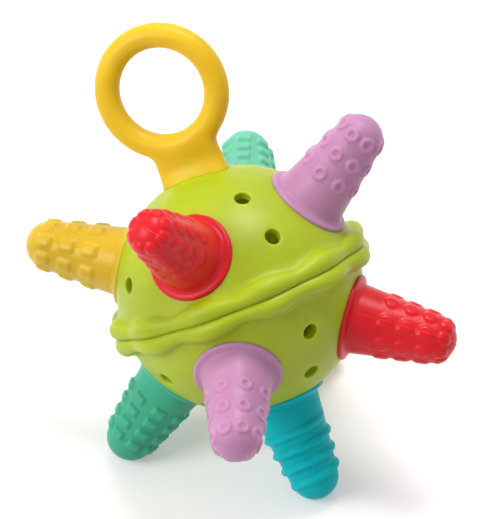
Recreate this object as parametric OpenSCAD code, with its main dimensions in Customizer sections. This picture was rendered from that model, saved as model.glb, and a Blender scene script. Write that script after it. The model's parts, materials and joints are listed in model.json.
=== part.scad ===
// Spiky teething ball: a hollow vented ball of two shells with soft bending
// fingers, a ring handle and loose rattle beads. It stands on three finger tips.
// Ball frame: Z runs from the pole finger to the ring handle, and the
// front finger pair lies on -Y. The stand() module turns that frame to rest.

/* [Ball] */
// Outside diameter of the ball
ball_d = 70; // [67:0.5:74]
// Thickness of the shell wall
wall = 2.5; // [2:0.1:3]
// Clearance between pieces that are pushed or welded together
fit_gap = 0.1; // [0.05:0.01:0.2]
// Clearance all round a soft finger
finger_gap = 0.15; // [0.1:0.01:0.3]

/* [Flange] */
// Number of lobes round the flange
lobe_count = 12; // [8:4:16]
// How far a lobe stands out of the ball
lobe_overhang = 4.2; // [3.5:0.1:5]
// Thickest radius of a lobe
lobe_r = 2.9; // [2.4:0.1:3.2]
// Radius of a lobe's end
lobe_end_r = 0.9; // [0.6:0.1:1.2]
// Height of a lobe's middle above the parting plane
lobe_rise = 2.3; // [2:0.1:2.6]
// How far two neighbouring lobes run into each other
lobe_overlap = 1.6; // [1:0.1:2.5]
// How far the rim between the lobes stands out of the ball
rim_overhang = 2.2; // [1.8:0.1:2.6]
// Height of that rim above the parting plane
rim_h = 3.6; // [3:0.1:4]
// Rounding of that rim's outer corner
rim_round = 1.6; // [1:0.1:1.8]
// Width of the weld tongue on the lower shell
tongue_w = 1.4; // [1:0.1:1.8]
// Height of the weld tongue
tongue_h = 1.5; // [1:0.1:2]
// Distance from the cavity wall to the weld tongue
tongue_inset = 1.6; // [1.2:0.1:2]

/* [Vents] */
// Diameter of a vent hole
vent_d = 4.4; // [3:0.1:5]
// Rounding of a vent hole's outer edge
vent_round = 0.8; // [0.4:0.1:1]
// Latitude of the vents near the flange
vent_low_lat = 24.3; // [22:0.1:27]
// Latitude of the vents near the poles
vent_high_lat = 49; // [47:0.5:51]

/* [Fingers] */
// How far a side finger's tip stands out of the ball
finger_reach = 28.7; // [26:0.1:31]
// How far the pole finger's tip stands out of the ball
pole_reach = 30; // [27:0.1:33]
// Latitude of the upper fingers
upper_lat = 31; // [30:0.5:33]
// Latitude of the lower fingers
lower_lat = 33; // [31:0.5:35]
// Diameter of a finger where it meets the ball
finger_base_d = 20; // [18:0.5:21]
// Radius of the domed finger tip
tip_r = 7; // [6:0.1:7.5]
// Diameter of the brim that lies on the ball
brim_d = 24.8; // [23:0.1:26]
// Thickness of the brim
brim_t = 1.4; // [1:0.1:1.8]
// Height of the sloped root above the brim
root_h = 1.6; // [1:0.1:2.5]
// How far that root spreads over the brim
root_spread = 0.9; // [0.5:0.1:1.2]
// Diameter of the finger's neck in the shell
neck_d = 14; // [12:0.1:15]
// Diameter of the lip behind the shell
lip_d = 17.2; // [16:0.1:18]
// Thickness of that lip
lip_t = 1.6; // [1:0.1:2]
// Radius of the hollow's end inside the tip
hollow_r = 3.4; // [3:0.1:4]
// Thickness of the finger's tip in front of the hollow
tip_wall = 4.6; // [3:0.1:6]

/* [Finger cores] */
// Diameter of the hard core in a finger's root
core_d = 9; // [8:0.1:10]
// How far the core stands out of the ball
core_out = 4.6; // [3:0.1:6]
// Diameter of the core's flange behind the finger
core_flange_d = 16; // [14:0.1:17]
// Thickness of that flange
core_flange_t = 1.5; // [1:0.1:2]

/* [Chewing textures] */
// Bump rows round a finger
bump_rows = 8; // [6:1:8]
// Height of every bump above the finger
bump_h = 0.8; // [0.5:0.1:1]
// Turn of the rows on the upper front, right, back and left finger
upper_turns = [2.5, 31, 22.5, 25.5]; // [0:0.5:45]
// Turn of the rows on the lower front, right, back and left finger
lower_turns = [3, 20, 22.5, 25.5]; // [0:0.5:45]
// Diameter of a button
button_d = 4; // [3.5:0.1:4.1]
// Distance from the ball to the first button
button_start = 9.8; // [8:0.1:10]
// Distance between buttons along the finger
button_pitch = 5.4; // [5:0.05:5.6]
// Buttons in a row
button_count = 4; // [2:1:4]
// Middle diameter of a raised ring
loop_d = 3.2; // [2.6:0.1:3.6]
// Thickness of a raised ring
loop_t = 1.3; // [0.8:0.1:1.5]
// Distance from the ball to the first raised ring
loop_start = 10.8; // [8:0.1:11]
// Distance between raised rings along the finger
loop_pitch = 7.3; // [6:0.1:7.6]
// Raised rings in a row
loop_count = 3; // [2:1:3]
// Length of a pad along the finger
pad_l = 4.1; // [3:0.1:4.5]
// Width of a pad
pad_w = 3.7; // [3:0.1:4]
// Distance from the ball to the first pad
pad_start = 8.1; // [7:0.1:9]
// Distance between pads along the finger
pad_pitch = 7.1; // [6:0.1:7.5]
// Pads in a row
pad_count = 3; // [2:1:3]
// Length of a block along the finger
block_l = 2.6; // [2:0.1:3]
// Width of a block
block_w = 3.7; // [3:0.1:4]
// Distance from the ball to the first block
block_start = 7.2; // [6.5:0.1:8]
// Distance between blocks along the finger
block_pitch = 4.5; // [4:0.1:5]
// Blocks in a row
block_count = 4; // [2:1:4]
// Distance from the ball to the start of the spiral rib
rib_start = 6; // [5:0.1:8]
// Distance between turns of the spiral rib
rib_pitch = 4.85; // [4.4:0.05:5]
// Radius of the spiral rib
rib_r = 1.3; // [1:0.1:1.5]
// Height of the spiral rib above the finger
rib_h = 1.1; // [0.8:0.1:1.3]
// Turns of the spiral rib
rib_turns = 3.75; // [2:0.25:4]
// Turn of the spiral rib's start
rib_turn = 139; // [0:1:360]

/* [Ring handle] */
// Diameter of the hole in the ring
ring_hole_d = 25; // [22:0.5:28]
// Diameter of the ring's tube
ring_tube_d = 7.2; // [6:0.1:8]
// Depth of the flat land round the hole
land_depth = 0.12; // [0.08:0.01:0.2]
// Height of the ring's centre above the ball
ring_rise = 25.2; // [24:0.1:28]
// Width of the handle's neck
neck_w = 18.6; // [16:0.1:20]
// Thickness of the handle's neck at the ball
neck_t = 10; // [9:0.1:11]
// Fillet between the neck and the ring
neck_fillet = 4; // [3:0.1:5]
// Diameter of the handle's stem in the shell
stem_d = 9.6; // [8:0.1:10]
// How far the stem stands inside the shell's top
stem_drop = 1.6; // [1:0.1:2]
// Diameter of the anchor's flange
anchor_flange_d = 16; // [14:0.1:18]
// Thickness of the anchor's flange at its edge
anchor_flange_t = 1.8; // [1:0.1:2]
// Diameter of the anchor's pin in the stem
anchor_pin_d = 5; // [4:0.1:6]
// Length of that pin
anchor_pin_l = 8; // [5:0.1:9]

/* [Rattle] */
// Diameter of a rattle bead
bead_d = 9; // [7:0.1:9.4]
// Clearance under a resting bead
bead_gap = 0.3; // [0.2:0.05:0.4]
// Angle between the lowest bead and its neighbours, seen from the ball's centre
bead_angle = 20.5; // [20:0.5:22]

/* [Stand] */
// Turn of the standing ball about the vertical
stand_turn = -9.5; // [-45:0.5:45]

/* [Hidden] */
$fn = 48;
ball_r = ball_d / 2;
cavity_r = ball_r - wall;
through = 100;
side_lon = [-90, 0, 90, 180];
vent_lon = [for (lon = side_lon) lon + 45];

// Flange
rim_out_r = ball_r + rim_overhang;
lobe_line_r = ball_r + lobe_overhang - lobe_r;
lobe_half_l = lobe_line_r * tan(180 / lobe_count) + lobe_overlap;
lobe_steps = 4;
tongue_in_r = cavity_r + tongue_inset;

// Finger outline: a cone that runs smoothly into the tip dome
side_tip_z = ball_r + finger_reach - tip_r;
pole_tip_z = ball_r + pole_reach - tip_r;
base_r = finger_base_d / 2;
function taper(tip_z) =
    acos(tip_r / norm([base_r, tip_z - ball_r])) - atan2(tip_z - ball_r, base_r);
function flank_r(z, tip_z) = base_r - (z - ball_r) * tan(taper(tip_z));
brim_edge_r = (brim_t - finger_gap) / 2;
brim_line_r = brim_d / 2 - brim_edge_r;
brim_line_z = sqrt(pow(ball_r + finger_gap + brim_edge_r, 2) - pow(brim_line_r, 2));
lip_floor = sqrt(pow(cavity_r, 2) - pow(lip_d / 2, 2)) - lip_t;
core_top = ball_r + core_out;
socket_r = core_d / 2 + finger_gap;

// Ring handle
tube_r = ring_tube_d / 2;
ring_line_r = ring_hole_d / 2 + tube_r - land_depth;
ring_z = ball_r + ring_rise;
ring_out_r = ring_line_r + tube_r;
post_x = neck_w / 2 - tube_r;
fillet_x = neck_w / 2 + neck_fillet;
fillet_z = ring_z - sqrt(pow(ring_out_r + neck_fillet, 2) - pow(fillet_x, 2));
fillet_end = ring_out_r / (ring_out_r + neck_fillet);
anchor_floor = sqrt(pow(cavity_r, 2) - pow(anchor_flange_d / 2, 2)) - anchor_flange_t;
stem_floor = cavity_r - stem_drop;

// Standing pose: the pole tip and the lower left and back tips share the floor
lean = atan2(pole_tip_z - side_tip_z * sin(lower_lat), side_tip_z * cos(lower_lat) / sqrt(2));
lean_axis = [-1, -1, 0] / sqrt(2);
centre_h = pole_tip_z * cos(lean) + tip_r;
function leant(p) = p * cos(lean) + cross(lean_axis, p) * sin(lean)
    + lean_axis * (lean_axis * p) * (1 - cos(lean));
function turned(p) = [p.x * cos(stand_turn) - p.y * sin(stand_turn),
    p.x * sin(stand_turn) + p.y * cos(stand_turn), p.z];
function stood(p) = turned(leant(p));
function on_sphere(r, lat, lon) = r * [cos(lat) * cos(lon), cos(lat) * sin(lon), sin(lat)];
tips = concat([[0, 0, -pole_tip_z]],
    [for (lon = side_lon) on_sphere(side_tip_z, upper_lat, lon)],
    [for (lon = side_lon) on_sphere(side_tip_z, -lower_lat, lon)]);
ring_mid = stood([0, 0, ring_z]);
ring_normal = stood([0, 1, 0]);
function ring_half(i) = ring_line_r * sqrt(1 - pow(ring_normal[i], 2)) + tube_r;
function low(i) = min(concat([for (t = tips) stood(t)[i] - tip_r], [ring_mid[i] - ring_half(i)]));
function high(i) = max(concat([for (t = tips) stood(t)[i] + tip_r], [ring_mid[i] + ring_half(i)]));
centre = [-(low(0) + high(0)) / 2, -(low(1) + high(1)) / 2, centre_h];
bead_r = bead_d / 2;
bead_line_r = cavity_r - bead_r - bead_gap;
bead_heading = stand_turn + 135;

lime = "#b3c233";
sun = "#e8c030";
butter = "#f0cd46";
red = "#e2303e";
lilac = "#c08cb9";
mint = "#87d4b9";
leaf = "#5aaf91";
turquoise = "#009ba5";
ivory = "#e9e4d4";

// Turns the ball frame so that the toy rests on three tips above the origin
module stand() {
    translate(centre) rotate([0, 0, stand_turn]) rotate(a = lean, v = lean_axis) children();
}

// Points the Z axis of its children out of the ball
module aim(lat, lon) {
    rotate([0, 90 - lat, lon]) children();
}

// One long puffed lobe, lying across the X axis
module lobe() {
    profile = [for (i = [-lobe_steps:lobe_steps])
        let (along = i * lobe_half_l / lobe_steps)
        [lobe_end_r + (lobe_r - lobe_end_r) * (1 - pow(along / lobe_half_l, 2)), along]];
    translate([lobe_line_r, 0, lobe_rise]) rotate([90, 0, 0]) rotate_extrude() {
        polygon(concat([[0, -lobe_half_l]], profile, [[0, lobe_half_l]]));
    }
}

// The scalloped lip of one shell above the parting plane, still solid inside
module lip() {
    intersection() {
        union() {
            rotate_extrude() {
                square([rim_out_r - rim_round, rim_h]);
                square([rim_out_r, rim_h - rim_round]);
                translate([rim_out_r - rim_round, rim_h - rim_round]) circle(r = rim_round);
            }
            for (i = [0:lobe_count - 1]) rotate([0, 0, i * 360 / lobe_count]) lobe();
        }
        cylinder(r = through, h = through);
    }
}

// A vent drilled through the wall with a rounded outer edge
module vent_cut() {
    vent_r = vent_d / 2;
    edge_z = sqrt(pow(ball_r, 2) - pow(vent_r + vent_round, 2));
    translate([0, 0, cavity_r - wall]) cylinder(d = vent_d, h = through);
    translate([0, 0, edge_z]) rotate_extrude() difference() {
        translate([0, -vent_round]) square([vent_r + vent_round, wall]);
        translate([vent_r + vent_round, -vent_round]) circle(r = vent_round);
    }
}

// A round seat for a neck or stem through the wall
module seat_cut(d) {
    translate([0, 0, cavity_r - 2 * wall]) cylinder(d = d, h = through);
}

// Half of the ball with its lip, finger seats and vents
module half_shell(lat) {
    difference() {
        union() {
            intersection() {
                sphere(r = ball_r, $fn = 96);
                cylinder(r = through, h = through);
            }
            lip();
        }
        sphere(r = cavity_r, $fn = 96);
        for (lon = side_lon) aim(lat, lon) seat_cut(neck_d + 2 * finger_gap);
        for (lon = vent_lon) {
            aim(vent_low_lat, lon) vent_cut();
            aim(vent_high_lat, lon) vent_cut();
        }
    }
}

// Ring of the tongue or of its groove, standing on the parting plane
module tongue(gap) {
    difference() {
        translate([0, 0, -tongue_h]) cylinder(r = tongue_in_r + tongue_w + gap, h = 2 * tongue_h + gap);
        cylinder(r = tongue_in_r - gap, h = through, center = true);
    }
}

module upper_shell() {
    color(lime) stand() difference() {
        half_shell(upper_lat);
        seat_cut(stem_d + 2 * fit_gap);
        tongue(fit_gap);
    }
}

module lower_shell() {
    color(lime) stand() {
        difference() {
            mirror([0, 0, 1]) half_shell(lower_lat);
            mirror([0, 0, 1]) seat_cut(neck_d + 2 * finger_gap);
        }
        tongue(0);
    }
}

// Ring, flared neck and stem of the handle
module ring_handle() {
    color(sun) stand() difference() {
        union() {
            translate([0, 0, ring_z]) rotate([90, 0, 0]) ring();
            difference() {
                handle_neck();
                sphere(r = ball_r + fit_gap, $fn = 96);
            }
            translate([0, 0, stem_floor]) cylinder(d = stem_d, h = ball_r + wall - stem_floor);
        }
        translate([0, 0, anchor_floor]) cylinder(d = anchor_pin_d + 2 * fit_gap, h = anchor_pin_l + fit_gap);
    }
}

// Round tube bent to a ring, with a narrow flat land round the hole
module ring() {
    rotate_extrude($fn = 96) translate([ring_line_r, 0]) intersection() {
        circle(d = ring_tube_d);
        translate([land_depth - tube_r, -tube_r]) square(ring_tube_d);
    }
}

// Two tapered posts with a web between them and fillets up to the ring
module handle_neck() {
    post_top = ring_z - sqrt(pow(ring_line_r, 2) - pow(post_x, 2));
    post_h = post_top - cavity_r;
    for (x = [-post_x, post_x]) {
        translate([x, 0, cavity_r]) cylinder(d1 = neck_t, d2 = ring_tube_d, h = post_h);
    }
    rotate([90, 0, 90]) translate([0, 0, -post_x]) linear_extrude(2 * post_x) polygon([
        [-neck_t / 2, cavity_r], [neck_t / 2, cavity_r], [tube_r, post_top], [-tube_r, post_top]]);
    for (m = [0, 1]) mirror([m, 0, 0]) rotate([90, 0, 0]) neck_fillet_plate();
}

module neck_fillet_plate() {
    end_x = fillet_x * fillet_end;
    end_z = ring_z + (fillet_z - ring_z) * fillet_end;
    linear_extrude(tube_r, center = true) difference() {
        polygon([[post_x, fillet_z], [fillet_x, fillet_z], [end_x, end_z], [post_x, end_z]]);
        translate([fillet_x, fillet_z]) circle(r = neck_fillet);
    }
}

// Flange under the shell's top with a pin pressed into the handle's stem
module ring_anchor() {
    color(ivory) stand() {
        difference() {
            intersection() {
                sphere(r = cavity_r - fit_gap, $fn = 96);
                translate([0, 0, anchor_floor]) cylinder(d = anchor_flange_d, h = through);
            }
            translate([0, 0, stem_floor - fit_gap]) cylinder(d = stem_d + 2 * fit_gap, h = through);
        }
        translate([0, 0, anchor_floor]) cylinder(d = anchor_pin_d, h = anchor_pin_l);
    }
}

// Plain finger: dome, cone, brim, neck and lip, hollow from behind
module finger(tip_z) {
    slope = taper(tip_z);
    hollow_z = tip_z + tip_r - tip_wall - hollow_r;
    difference() {
        union() {
            difference() {
                union() {
                    translate([0, 0, tip_z]) sphere(r = tip_r);
                    translate([0, 0, ball_r - wall]) cylinder(
                        r1 = flank_r(ball_r - wall, tip_z),
                        r2 = tip_r * cos(slope),
                        h = tip_z + tip_r * sin(slope) - ball_r + wall);
                    brim(tip_z);
                    children();
                }
                sphere(r = ball_r + finger_gap, $fn = 96);
            }
            translate([0, 0, lip_floor]) cylinder(d = neck_d, h = ball_r + brim_t - lip_floor);
            intersection() {
                sphere(r = cavity_r - finger_gap, $fn = 96);
                translate([0, 0, lip_floor]) cylinder(d = lip_d, h = through);
            }
        }
        translate([0, 0, lip_floor - wall]) cylinder(r = socket_r, h = core_top - lip_floor + wall);
        translate([0, 0, core_top]) cylinder(r1 = socket_r, r2 = hollow_r, h = hollow_z - core_top);
        translate([0, 0, hollow_z]) sphere(r = hollow_r);
    }
}

// Rounded brim on the ball with a sloped root up to the finger
module brim(tip_z) {
    root_z = sqrt(pow(ball_r + brim_t, 2) - pow(base_r, 2));
    root_low = root_z - root_h / 2;
    root_high = root_z + root_h;
    intersection() {
        sphere(r = ball_r + brim_t, $fn = 96);
        cylinder(r = brim_line_r, h = through);
    }
    rotate_extrude() translate([brim_line_r, brim_line_z]) circle(r = brim_edge_r);
    translate([0, 0, root_low]) cylinder(
        r1 = base_r + root_spread,
        r2 = flank_r(root_high, tip_z),
        h = root_high - root_low);
}

// Places its children on a finger's skin, with Z out of it: on the cone, then on the dome
module on_skin(along, turn, tip_z) {
    slope = taper(tip_z);
    cone_l = (tip_z + tip_r * sin(slope) - ball_r) / cos(slope);
    climb = slope + max(0, along - cone_l) / tip_r * 180 / PI;
    place = along < cone_l
        ? [base_r - along * sin(slope), 0, ball_r + along * cos(slope)]
        : [tip_r * cos(climb), 0, tip_z + tip_r * sin(climb)];
    rotate([0, 0, turn]) translate(place) rotate([0, 90 - climb, 0]) children();
}

// Rows of one bump along the finger
module bump_field(start, pitch, number, turn) {
    for (row = [0:bump_rows - 1], i = [0:number - 1]) {
        on_skin(start + i * pitch, turn + row * 360 / bump_rows, side_tip_z) children();
    }
}

// A raised ring on a wall that reaches into the finger
module loop_bump() {
    rotate_extrude() translate([loop_d / 2, bump_h - loop_t / 2]) {
        circle(d = loop_t);
        translate([-loop_t / 2, -2 * bump_h]) square([loop_t, 2 * bump_h]);
    }
}

module pad_bump(l, w) {
    cube([l, w, 2 * bump_h], center = true);
}

// Spiral rib wound up a finger as one swept tube with thin ends
module spiral_rib(tip_z) {
    turn_steps = 20;
    edges = 6;
    steps = round(rib_turns * turn_steps);
    fade_steps = turn_steps / 2;
    thin_end = 0.1;
    points = [for (s = [0:steps]) for (e = [0:edges - 1])
        let (turn = s * 360 / turn_steps,
            z = ball_r + rib_start + s * rib_pitch / turn_steps,
            swell = rib_r * min(1, thin_end + min(s, steps - s) / fade_steps),
            out = flank_r(z, tip_z) - (rib_r - rib_h) + swell * cos(e * 360 / edges),
            up = z + swell * sin(e * 360 / edges))
        [out * cos(turn), out * sin(turn), up]];
    rings = [for (s = [0:steps - 1]) for (e = [0:edges - 1])
        let (a = s * edges + e, b = s * edges + (e + 1) % edges)
        each [[a, b, b + edges], [a, b + edges, a + edges]]];
    ends = [for (e = [1:edges - 2]) each [[0, e + 1, e],
        [steps * edges, steps * edges + e, steps * edges + e + 1]]];
    polyhedron(points, concat(rings, ends));
}

module button_finger(turn) {
    finger(side_tip_z) bump_field(button_start, button_pitch, button_count, turn) {
        cylinder(d = button_d, h = 2 * bump_h, center = true);
    }
}

module loop_finger(turn) {
    finger(side_tip_z) bump_field(loop_start, loop_pitch, loop_count, turn) loop_bump();
}

module pad_finger(turn) {
    finger(side_tip_z) bump_field(pad_start, pad_pitch, pad_count, turn) pad_bump(pad_l, pad_w);
}

module block_finger(turn) {
    finger(side_tip_z) bump_field(block_start, block_pitch, block_count, turn) pad_bump(block_l, block_w);
}

module upper_finger_front() {
    color(red) stand() aim(upper_lat, side_lon[0]) button_finger(upper_turns[0]);
}

module upper_finger_right() {
    color(lilac) stand() aim(upper_lat, side_lon[1]) loop_finger(upper_turns[1]);
}

module upper_finger_back() {
    color(mint) stand() aim(upper_lat, side_lon[2]) block_finger(upper_turns[2]);
}

module upper_finger_left() {
    color(butter) stand() aim(upper_lat, side_lon[3]) pad_finger(upper_turns[3]);
}

module lower_finger_front() {
    color(lilac) stand() aim(-lower_lat, side_lon[0]) loop_finger(lower_turns[0]);
}

module lower_finger_right() {
    color(red) stand() aim(-lower_lat, side_lon[1]) button_finger(lower_turns[1]);
}

module lower_finger_back() {
    color(butter) stand() aim(-lower_lat, side_lon[2]) pad_finger(lower_turns[2]);
}

module lower_finger_left() {
    color(leaf) stand() aim(-lower_lat, side_lon[3]) block_finger(lower_turns[3]);
}

module pole_finger() {
    color(turquoise) stand() aim(-90, 0) finger(pole_tip_z) {
        rotate([0, 0, rib_turn]) spiral_rib(pole_tip_z);
    }
}

// Hard plug that fills a finger's root and stops it from being pulled out
module core(lat, lon) {
    flange_z = lip_floor - finger_gap - core_flange_t;
    core_r = core_d / 2;
    color(ivory) stand() aim(lat, lon) {
        translate([0, 0, flange_z]) cylinder(d = core_flange_d, h = core_flange_t);
        translate([0, 0, flange_z]) cylinder(r = core_r, h = core_top - core_r - flange_z);
        translate([0, 0, core_top - core_r]) sphere(r = core_r);
    }
}

// Loose bead on the cavity's lowest part, beside it by an angle and a heading
module bead(angle, heading) {
    color(ivory) translate(centre) rotate([0, 180 - angle, bead_heading + heading]) {
        translate([0, 0, bead_line_r]) sphere(r = bead_r);
    }
}

upper_shell();
lower_shell();
ring_handle();
ring_anchor();
upper_finger_front();
upper_finger_right();
upper_finger_back();
upper_finger_left();
lower_finger_front();
lower_finger_right();
lower_finger_back();
lower_finger_left();
pole_finger();
core(upper_lat, side_lon[0]);  // upper_core_front
core(upper_lat, side_lon[1]);  // upper_core_right
core(upper_lat, side_lon[2]);  // upper_core_back
core(upper_lat, side_lon[3]);  // upper_core_left
core(-lower_lat, side_lon[0]);  // lower_core_front
core(-lower_lat, side_lon[1]);  // lower_core_right
core(-lower_lat, side_lon[2]);  // lower_core_back
core(-lower_lat, side_lon[3]);  // lower_core_left
core(-90, 0);  // pole_core
bead(0, 0);  // bead_low
bead(bead_angle, 120);  // bead_left
bead(bead_angle, 240);  // bead_right
bead(bead_angle, 0);  // bead_back
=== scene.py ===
"""Spiky teething ball: its shells, handle, soft fingers and finishes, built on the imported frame."""
import json
from math import acos, asin, atan2, ceil, cos, hypot, pi, radians, sin, sqrt

import bmesh
import bpy
from bpy.props import FloatProperty, FloatVectorProperty, IntProperty, PointerProperty
from mathutils import Matrix, Vector
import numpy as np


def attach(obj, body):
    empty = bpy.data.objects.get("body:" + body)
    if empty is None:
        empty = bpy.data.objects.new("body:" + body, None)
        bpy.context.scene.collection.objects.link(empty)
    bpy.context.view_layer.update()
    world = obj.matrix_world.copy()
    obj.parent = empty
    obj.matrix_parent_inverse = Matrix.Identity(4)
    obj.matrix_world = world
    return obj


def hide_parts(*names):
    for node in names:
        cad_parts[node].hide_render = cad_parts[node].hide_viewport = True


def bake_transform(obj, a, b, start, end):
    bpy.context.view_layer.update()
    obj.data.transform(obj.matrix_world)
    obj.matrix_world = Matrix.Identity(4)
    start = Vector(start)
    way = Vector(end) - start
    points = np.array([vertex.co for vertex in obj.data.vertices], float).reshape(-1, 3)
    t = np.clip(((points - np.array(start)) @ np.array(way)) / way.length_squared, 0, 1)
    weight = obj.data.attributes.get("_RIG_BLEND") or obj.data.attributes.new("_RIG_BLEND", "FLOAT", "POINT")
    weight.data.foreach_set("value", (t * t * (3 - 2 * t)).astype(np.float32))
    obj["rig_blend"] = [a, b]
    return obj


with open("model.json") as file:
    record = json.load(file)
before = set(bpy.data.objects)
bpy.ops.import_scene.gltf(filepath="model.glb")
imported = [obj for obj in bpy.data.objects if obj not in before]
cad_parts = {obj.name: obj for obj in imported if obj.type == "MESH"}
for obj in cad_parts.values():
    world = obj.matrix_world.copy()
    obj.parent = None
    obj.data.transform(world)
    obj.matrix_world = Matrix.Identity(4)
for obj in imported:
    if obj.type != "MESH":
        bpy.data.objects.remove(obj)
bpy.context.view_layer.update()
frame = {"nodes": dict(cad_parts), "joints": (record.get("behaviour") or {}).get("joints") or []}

bl_info = {
    "name": "Spiky teething ball",
    "version": (1, 0, 0),
    "blender": (4, 5, 0),
    "location": "3D View > Sidebar > Teether",
    "description": "Builds the shells, ring handle and soft fingers of a teething ball",
    "category": "Add Mesh",
}

MM = 0.001
SIDES = ("front", "right", "back", "left")
# The photograph's viewing angle above the floor
VIEW_ANGLE = radians(42.3)
# Points that are nearer than this are one point
MERGE = 0.001 * MM

# Ball frame, from the places of the finger hinges
HINGES = {j["child"]: Vector(j["pos_m"]) for j in frame["joints"] if j["type"] == "hinge"}
UPPER = [HINGES["upper_finger_" + side] for side in SIDES]
LOWER = [HINGES["lower_finger_" + side] for side in SIDES]
UP = (sum(UPPER, Vector()) - sum(LOWER, Vector())).normalized()
EAST = (HINGES["upper_finger_right"] - HINGES["upper_finger_left"]).normalized()
NORTH = UP.cross(EAST)
FROM_POLE = HINGES["upper_finger_right"] - HINGES["pole_finger"]
HINGE_REACH = FROM_POLE.length_squared / (2 * FROM_POLE.dot(UP))
CENTRE = HINGES["pole_finger"] + UP * HINGE_REACH
BALL = Matrix.Translation(CENTRE) @ Matrix((EAST, NORTH, UP)).transposed().to_4x4()

# Finger node, texture, material slot and turn of the texture's rows in degrees
FINGERS = (
    ("upper_finger_front", "buttons", "red_finger", 2.5),
    ("upper_finger_right", "donuts", "lilac_finger", 31),
    ("upper_finger_back", "blocks", "mint_finger", 22.5),
    ("upper_finger_left", "pads", "butter_finger", 25.5),
    ("lower_finger_front", "donuts", "lilac_finger", 3),
    ("lower_finger_right", "buttons", "red_finger", 20),
    ("lower_finger_back", "pads", "butter_finger", 22.5),
    ("lower_finger_left", "blocks", "leaf_finger", 25.5),
    ("pole_finger", "spiral", "turquoise_finger", 139),
)

# Roughness, softness, depth of the glow in millimetres and shine of each slot's finish
FINISHES = {
    "lime_shell": (0.42, 0.6, 4, 0.35),
    "yellow_ring": (0.4, 0.7, 4, 0.25),
    "red_finger": (0.33, 0.6, 3.5, 0.25),
    "lilac_finger": (0.4, 0.6, 3.5, 0.25),
    "mint_finger": (0.4, 0.6, 3.5, 0.25),
    "butter_finger": (0.3, 0.6, 3.5, 0.25),
    "leaf_finger": (0.4, 0.6, 3.5, 0.25),
    "turquoise_finger": (0.4, 0.6, 3.5, 0.1),
    "ivory_core": (0.45, 0.05, 1, 0.25),
    "ivory_bead": (0.25, 0.05, 1, 0.25),
}

# Lamp name, place and size in metres, and power in watts
LAMPS = (
    ("key", (0.1, 0.38, 1.2), 0.5, 8.8),
    ("side", (-0.95, -0.5, 0.8), 0.8, 9.5),
)


def srgb(red, green, blue):
    """Linear colour of an sRGB colour given as three numbers up to 255."""
    parts = [value / 255 for value in (red, green, blue)]
    return [p / 12.92 if p < 0.04045 else ((p + 0.055) / 1.055) ** 2.4 for p in parts]


def length(name, description, millimetres):
    """A length that a user may change."""
    return FloatProperty(name=name, description=description, default=millimetres * MM, unit="LENGTH")


def turn(name, description, angle):
    """An angle that a user may change, given in degrees."""
    return FloatProperty(name=name, description=description, default=radians(angle), subtype="ANGLE")


def count(name, description, number):
    """A number of repeats that a user may change."""
    return IntProperty(name=name, description=description, default=number, min=1)


def colour(name, description, red, green, blue):
    """A colour that a user may change."""
    return FloatVectorProperty(
        name=name, description=description, default=srgb(red, green, blue), subtype="COLOR", min=0, max=1
    )


class TeetherShell(bpy.types.PropertyGroup):
    """Sizes of the ball and its flange."""

    ball_r: length("Ball radius", "Outside radius of the ball", 35)
    wall: length("Wall", "Thickness of the shell", 2.5)
    parting: length("Parting gap", "Half of the gap between the two shells", 0.02)
    lobes: count("Lobes", "Lobes round each lip of the flange", 12)
    lobe_out: length("Lobe reach", "How far a lobe stands out of the ball", 4.2)
    lobe_r: length("Lobe radius", "Radius of a lobe in its middle", 3)
    lobe_rise: length("Lobe height", "Height of a lobe's middle above the parting plane", 2.45)
    valley_out: length("Valley reach", "How far the lip stands out between two lobes", 2.7)
    valley_r: length("Valley radius", "Radius of the lip between two lobes", 2.2)
    valley_rise: length("Valley height", "Height of the lip's middle between two lobes", 1.8)
    lip_top: length("Lip start", "Height at which the ball starts to run into the lip", 7.8)
    vent_r: length("Vent radius", "Radius of a vent hole", 2.25)
    vent_round: length("Vent rounding", "Rounding of a vent's outer edge", 0.4)
    vent_low: turn("Low vents", "Latitude of the vents near the flange", 24.3)
    vent_high: turn("High vents", "Latitude of the vents near the poles", 49)


class TeetherHandle(bpy.types.PropertyGroup):
    """Sizes of the ring handle."""

    tube_r: length("Tube radius", "Radius of the ring's tube", 3.6)
    line_r: length("Ring radius", "Radius of the ring's middle line", 15.98)
    rise: length("Ring height", "Height of the ring's middle above the ball", 25.2)
    waist_w: length("Waist width", "Width of the neck at its narrowest", 20)
    waist_t: length("Waist depth", "Depth of the neck at its narrowest", 5.4)
    waist_rise: length("Waist height", "Height of the waist above the ball", 5)
    foot_w: length("Foot width", "Width of the neck on the ball", 20.6)
    foot_t: length("Foot depth", "Depth of the neck on the ball", 9.4)
    gap: length("Seat gap", "Gap between the stem and its hole", 0.03)
    sink: length("Sink", "How far the foot is let into the ball", 0.1)
    stem_r: length("Stem radius", "Radius of the stem in the shell", 3.7)
    stem_in: length("Stem length", "How far the stem reaches below the top of the ball", 4.1)
    bore_r: length("Bore radius", "Radius of the bore for the anchor's pin", 2.6)
    bore_out: length("Bore length", "How far that bore reaches above the top of the ball", 2.8)


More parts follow.
